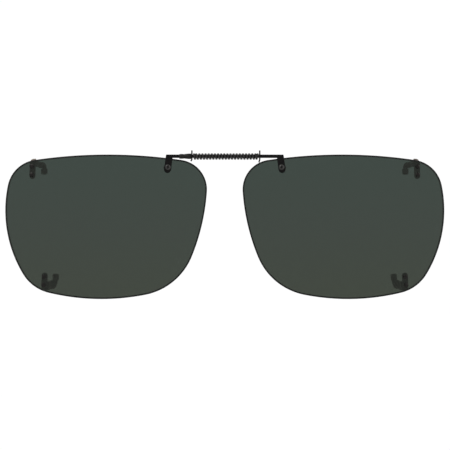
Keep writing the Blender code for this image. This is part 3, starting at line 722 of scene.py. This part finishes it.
def bar_section(x, front, grow=0.0, inset=0.0):
    """A bar's half-round section. front is -1 for the bar at the front, +1 for the one behind it.
    An inset of 1 brings it to the bridge's middle plane, where it meets the paddle."""
    flat = BAR_HALF_GAP - grow - inset * (BAR_HALF_GAP + BAR_DEPTH / 2)
    half = BAR_HALF_HEIGHT + grow
    ring = ring_about_bridge(x, front, BAR_DEPTH + 2 * grow, half)
    for i, point in enumerate(ring):
        if i <= BAR_STEPS:
            point.y += front * flat
        else:
            point.y = BRIDGE_Y + front * flat
            point.z = BRIDGE_Z + half * (1 - 2 * (i - BAR_STEPS) / BAR_STEPS)
    return ring


def make_arm(name, side, body, seat):
    """A slide bar with a joggle at its outer end, and a flat paddle that hangs from it on the lens."""
    front = -side
    far = COLLAR_START_X + TIP_IN_COLLAR
    if side < 0:
        far = -(PLATE_X["right"] + PLATE_THICK / 2 + TIP_PAST)
    rings = []
    for back, share in BAR_END:
        x = side * (ARM_END_X - back)
        middle = Vector((x, BRIDGE_Y, BRIDGE_Z))
        rings.append([middle + (p - middle) * share for p in bar_section(x, front, inset=1.0)])
    straight, shift = JOGGLE
    for i in range(9):
        share = i / 8
        ease = share * share * (3 - 2 * share)
        rings.append(bar_section(side * (ARM_END_X - straight - shift * share), front, inset=1 - ease))
    rings.append(bar_section(side * far, front))
    arm = mesh_object(name, loft(rings), None, 50)

    stations = rounded_end(0.0, PADDLE_HALF_WIDTH, 0.0, 1, 20)
    stations = [tuple((across, along) for along, across in pair) for pair in stations]
    top = PADDLE_REACH + PADDLE_PAST
    for i in range(1, 5):
        at = PADDLE_HALF_WIDTH + (top - PADDLE_HALF_WIDTH) * i / 4
        stations.append(((at, -PADDLE_HALF_WIDTH), (at, PADDLE_HALF_WIDTH)))
    bm = rounded_sheet(stations, [(0, 0)], SHEET, 0.09 * MM)
    swap = Matrix(((0, 0, 1, 0), (0, 1, 0, 0), (1, 0, 0, 0), (0, 0, 0, 1)))
    start = Matrix.Translation((0, -FIT_GAP - SHEET / 2, -PADDLE_REACH))
    paddle = mesh_object(f"{name}_paddle", bm, seat @ start @ swap, 50)
    join_into(arm, paddle)
    piece(arm, "arm", body, name)


def join_into(target, other):
    bm = bmesh.new()
    bm.from_mesh(target.data)
    bm.from_mesh(other.data)
    bm.to_mesh(target.data)
    bm.free()
    bpy.data.objects.remove(other)


def make_screw(name, body, seat):
    """A domed screw through the paddle, the bush and the nut, with a cross recess in its head. The
    recess's faces wear the arm's near-black finish as painted shade, not the screw's own steel.
    """
    under = -FIT_GAP - SHEET - JOIN_GAP
    end = LENS_THICK + 2 * FIT_GAP + BUSH_FLANGE_THICK + NUT_THICK + SCREW_PAST
    profile = []
    for i in range(12):
        t = QUARTER * (i + 0.3) / 11.3
        profile.append((under - SCREW_RIM - SCREW_DOME * math.cos(t), SCREW_HEAD * math.sin(t)))
    soft = 0.03 * MM
    profile += [(under - soft, SCREW_HEAD), (under, SCREW_HEAD - soft), (under, SCREW_SHANK)]
    first = LENS_THICK + FIT_GAP + BUSH_FLANGE_THICK
    points, thread, chamfer = SCREW_THREAD
    for i in range(points):
        depth = first + (end - chamfer - first) * i / (points - 1)
        profile.append((depth, SCREW_SHANK - thread * (i % 2)))
    profile.append((end, SCREW_SHANK - chamfer))
    screw = mesh_object(name, turned(profile, 40, SCREW_IN), seat, 40)
    # Painted shade: the cut of the cross recess wears the black arm finish, so the recess shows darker
    # than the steel head.
    looks = ("screw", "arm")
    wear(screw, *looks)
    floor = under - RECESS_FLOOR
    long, wide = RECESS
    cross = [(-long, -wide), (-wide, -wide), (-wide, -long), (wide, -long), (wide, -wide), (long, -wide)]
    cross += [(-x, -z) for x, z in cross]
    rings = []
    for q, share in ((floor - RECESS_HEIGHT, 1.0), (floor, RECESS_TAPER)):
        rings.append([Vector((x * share, q, z * share - SCREW_IN)) for x, z in cross])
    cut_away(screw, loft(rings), seat, looks)
    screw.data.shade_smooth()
    screw.data.set_sharp_from_angle(angle=math.radians(30))
    piece(screw, "screw", body, name)


def make_bush(name, body, seat):
    """A plastic sleeve in the lens, with a flange behind it that keeps the nut off the lens."""
    back = LENS_THICK + FIT_GAP
    bore = SCREW_SHANK + JOIN_GAP
    far = back + BUSH_FLANGE_THICK
    soft = 0.05 * MM
    profile = [
        (BUSH_IN, bore),
        (BUSH_IN, BUSH_RADIUS),
        (back, BUSH_RADIUS),
        (back, BUSH_FLANGE - soft),
        (back + soft, BUSH_FLANGE),
        (far - soft, BUSH_FLANGE),
        (far - 0.3 * soft, BUSH_FLANGE - 0.3 * soft),
        (far, BUSH_FLANGE - soft),
        (far, bore),
    ]
    piece(mesh_object(name, turned(profile, 40, SCREW_IN, True), seat, 50), "bush", body, name)


def make_nut(name, body, seat):
    """A small hexagon nut behind the bush's flange."""
    front = LENS_THICK + FIT_GAP + BUSH_FLANGE_THICK + JOIN_GAP
    back = front + NUT_THICK
    bore = SCREW_SHANK + JOIN_GAP
    mouth = 0.06 * MM
    sides = 60

    def hexagon(q, limit):
        """Its corners are cut to a circle whose radius is this share of the flats' distance."""
        ring = []
        for i in range(sides):
            t = TURN * i / sides
            from_flat = (t % (TURN / 6)) - TURN / 12
            radius = min(NUT_ACROSS / math.cos(from_flat), NUT_ACROSS * limit)
            ring.append(Vector((radius * math.cos(t), q, radius * math.sin(t) - SCREW_IN)))
        return ring

    rings = [
        circle(front, bore, sides, SCREW_IN),
        hexagon(front, 1.04),
        hexagon(front + 0.07 * MM, 1.2),
        hexagon(back - NUT_CHAMFER, 1.2),
        hexagon(back - 0.05 * MM, 1.06),
        hexagon(back, 0.96),
        circle(back, bore + mouth, sides, SCREW_IN),
        circle(back - mouth, bore, sides, SCREW_IN),
    ]
    piece(mesh_object(name, loft(rings, True), seat, 30), "screw", body, name)


# ---- The bridge ----
def make_bead():
    """The stop on the left arm's bar, against which the spring holds the collar."""
    profile = [(0.0, 0.90), (0.03, 0.94), (0.1, 0.97), (0.3, 0.99), (0.5, 1.0)]
    profile += [(1 - along, share) for along, share in profile[-2::-1]]
    rings = []
    for along, share in profile:
        radius = BEAD_RADIUS * share
        rings.append(ring_about_bridge(BEAD_START_X + BEAD_LENGTH * along, 1, radius, radius, BEAD_DROP))
    for x in (BEAD_START_X + BEAD_LENGTH, BEAD_START_X):
        rings.append(bar_section(x, 1, BEAD_SLACK))
    piece(mesh_object("stop_bead", loft(rings, True), None, 45), "guide", LEFT, "stop_bead")


def bar_pair(x):
    """The round hole that both bars pass through."""
    across = BAR_HALF_GAP + BAR_DEPTH + SLIDE_CLEARANCE
    return ring_about_bridge(x, 1, across, BAR_HALF_HEIGHT + SLIDE_CLEARANCE)


def make_plate(side, body):
    """A spring seat: a thin disc with an ear above and a bent ear below."""
    below, bend = EAR_BOTTOM[side]
    profile = [(below - PLATE_RADIUS - EAR_BEND / 3, 0), (EAR_BEND, bend), (PLATE_RADIUS + EAR_TOP, 0)]
    edge = math.asin(EAR_HALF_WIDTH / PLATE_RADIUS)
    soft = EAR_ROUND
    levels = [soft * (1 - math.cos(QUARTER * i / 6)) - below for i in range(7)]
    levels += [EAR_BEND * (i / 5 - 1) - PLATE_RADIUS for i in range(5)]
    levels += [-PLATE_RADIUS * math.cos(edge + (math.pi - 2 * edge) * i / 28) for i in range(29)]
    levels += [EAR_TOP - soft * (1 - math.sin(QUARTER * i / 6)) for i in range(7)]
    stations = []
    for level in sorted(levels):
        half = EAR_HALF_WIDTH
        if abs(level) < PLATE_RADIUS:
            half = max(half, math.sqrt(PLATE_RADIUS**2 - level**2))
        tip = min(level + below, EAR_TOP - level)
        if tip < soft:
            half -= soft - math.sqrt(max(0.0, soft**2 - (soft - tip) ** 2))
        stations.append(((level + below, -half), (level + below, half)))
    bm = rounded_sheet(stations, profile, PLATE_THICK, 0.06 * MM)
    middle, _ = fold_at(profile, below)
    axes = Matrix(((0, -1, 0, 0), (0, 0, 1, 0), (1, 0, 0, 0), (0, 0, 0, 1)))
    upright = Matrix.Rotation(-bend, 4, "Z") @ Matrix.Translation((-middle.x, -middle.y, 0))
    at = Matrix.Translation((PLATE_X[side], BRIDGE_Y, BRIDGE_Z))
    plate = mesh_object(f"{side}_end_plate", bm, at @ axes @ upright, 45)
    cut_away(plate, loft([bar_pair(PLATE_X[side] + step) for step in (-1 * MM, 1 * MM)]))
    plate.data.shade_smooth()
    plate.data.set_sharp_from_angle(angle=math.radians(45))
    piece(plate, "arm", body, f"{side}_end_plate")


def make_collar():
    """A tapered ferrule on the right arm's tip, which guides the left arm and meets its bead."""
    start, end = COLLAR_RADIUS
    length = COLLAR_LENGTH
    profile = [(along, start - off) for along, off in COLLAR_ROUND]
    first = COLLAR_ROUND[-1][0]
    for i in range(1, 8):
        share = i / 8
        x = first + (length - first - 0.10 * MM) * share
        profile.append((x, start + (end - start) * math.sin(QUARTER * share)))
    profile += [(length - along, end - off) for along, off in COLLAR_ROUND[::-1]]
    rings = [ring_about_bridge(COLLAR_START_X + x, 1, r, r) for x, r in profile]
    rings += [bar_pair(COLLAR_START_X + x) for x in (length, 0.0)]
    piece(mesh_object("guide_collar", loft(rings, True), None, 45), "guide", RIGHT, "guide_collar")


def make_spring():
    """The coil of flattened wire, with a closed turn at each end."""
    wide, thick = (size / 2 for size in SPRING_STRIP)
    section = []
    for right, up, first in ((1, 1, 0), (-1, 1, 1), (-1, -1, 2), (1, -1, 3)):
        for i in range(4):
            t = QUARTER * (first + i / 3)
            along = right * (wide - SPRING_ROUND) + SPRING_ROUND * math.cos(t)
            section.append((along, up * (thick - SPRING_ROUND) + SPRING_ROUND * math.sin(t)))
    gap = wide + JOIN_GAP
    x = PLATE_X["left"] + PLATE_THICK / 2 + gap
    end = PLATE_X["right"] - PLATE_THICK / 2 - gap
    pitch = (end - x - 2 * SPRING_END_PITCH) / (SPRING_TURNS - 2)
    rings = []
    for i in range(round(SPRING_TURNS * SPRING_STEPS) + 1):
        t = TURN * i / SPRING_STEPS
        outward = Vector((0, math.cos(t), math.sin(t)))
        centre = Vector((x, BRIDGE_Y, BRIDGE_Z - SPRING_DROP)) + outward * SPRING_RADIUS
        rings.append([centre + Vector((along, 0, 0)) + outward * out for along, out in section])
        closed = i < SPRING_STEPS or i >= (SPRING_TURNS - 1) * SPRING_STEPS
        x += (SPRING_END_PITCH if closed else pitch) / SPRING_STEPS
    spring = piece(mesh_object("bridge_spring", loft(rings), None, 50), "spring", LEFT, "bridge_spring")
    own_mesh(spring)


def make_side(prefix, side):
    """One lens with everything that is fastened to it."""
    body = BODY[prefix]
    frames = {level: hook_place(side, level) for level in HOOK_X}
    frames["paddle"] = paddle_frame(side)
    make_lens(f"{prefix}_lens", side, body, frames)
    for level in HOOK_X:
        hook = f"{prefix}_{level}_hook"
        make_hook(hook, level, body, frames[level])
        make_sleeve(f"{hook}_sleeve", level, body, frames[level])
        for where, inward in zip(("outer", "inner"), RIVETS_IN):
            make_rivet(f"{hook}_{where}_rivet", inward, body, frames[level])
    make_arm(f"{prefix}_arm", side, body, frames["paddle"])
    make_screw(f"{prefix}_arm_screw", body, frames["paddle"])
    make_bush(f"{prefix}_arm_bush", body, frames["paddle"])
    make_nut(f"{prefix}_arm_nut", body, frames["paddle"])


make_side("left", -1)
make_side("right", 1)
make_bead()
make_plate("left", RIGHT)
make_plate("right", LEFT)
make_collar()
make_spring()


# ---- Studio ----
def area_light(name, place, size, power):
    """A white panel that faces the middle of the model."""
    data = bpy.data.lights.new(name, "AREA")
    data.shape = "RECTANGLE"
    data.size, data.size_y = size
    data.energy = power
    lamp = bpy.data.objects.new(name, data)
    lamp.location = place
    lamp.rotation_euler = (-Vector(place)).to_track_quat("-Z", "Y").to_euler()
    bpy.context.scene.collection.objects.link(lamp)


def studio():
    """White all round. The camera sees it, and through the lenses, brighter than it lights the model."""
    scene = bpy.context.scene
    scene.view_settings.view_transform = "Standard"
    scene.view_settings.look = "None"

    world = bpy.data.worlds.new("studio")
    scene.world = world
    world.use_nodes = True
    tree = world.node_tree
    lit = tree.nodes["Background"]
    world_out = next(n for n in tree.nodes if n.type == "OUTPUT_WORLD")
    seen = tree.nodes.new("ShaderNodeBackground")
    for glow, strength in ((lit, 0.6), (seen, 1.02)):
        glow.inputs["Color"].default_value = (1, 1, 1, 1)
        glow.inputs["Strength"].default_value = strength
    path = tree.nodes.new("ShaderNodeLightPath")
    either = tree.nodes.new("ShaderNodeMath")
    either.operation = "MAXIMUM"
    mix = tree.nodes.new("ShaderNodeMixShader")
    tree.links.new(path.outputs["Is Camera Ray"], either.inputs[0])
    tree.links.new(path.outputs["Is Transmission Ray"], either.inputs[1])
    tree.links.new(either.outputs[0], mix.inputs["Fac"])
    tree.links.new(lit.outputs[0], mix.inputs[1])
    tree.links.new(seen.outputs[0], mix.inputs[2])
    tree.links.new(mix.outputs[0], world_out.inputs["Surface"])

    mesh = bpy.data.meshes.new("floor")
    reach, level, sides = 450 * MM, -75 * MM, 96
    rim = [TURN * i / sides for i in range(sides)]
    rim = [(reach * math.cos(t), reach * math.sin(t), level) for t in rim]
    mesh.from_pydata(rim, [], [tuple(range(sides))])
    floor = bpy.data.objects.new("floor", mesh)
    scene.collection.objects.link(floor)
    made, tree, shader = new_material("floor_white")
    shader.inputs["Base Color"].default_value = (0.86, 0.86, 0.86, 1)
    shader.inputs["Roughness"].default_value = 0.9
    shader.inputs["Specular IOR Level"].default_value = 0.0
    shader.inputs["Emission Color"].default_value = (1, 1, 1, 1)
    shader.inputs["Emission Strength"].default_value = 0.26
    mesh.materials.append(made)
    floor.visible_glossy = False

    area_light("key", (-0.55, -0.45, 0.95), (0.6, 0.6), 3.5)
    area_light("fill", (0.9, -0.45, 0.35), (0.5, 0.7), 1.6)
    area_light("rim", (0.2, 0.9, 0.7), (0.8, 0.5), 2.0)


def camera():
    """Square on to the front, far enough back that the sides show hardly any perspective."""
    data = bpy.data.cameras.new("camera")
    distance = 800 * MM
    width = 129.05 * MM  # what the picture spans at that distance
    data.sensor_width = 36.0
    data.lens = data.sensor_width * distance / width
    data.clip_start = 0.01
    data.clip_end = 20.0
    made = bpy.data.objects.new("camera", data)
    made.location = (0.06 * MM, -1.5 * MM - distance, 0.52 * MM)
    made.rotation_euler = (QUARTER, 0, 0)
    bpy.context.scene.collection.objects.link(made)
    bpy.context.scene.camera = made


studio()
camera()
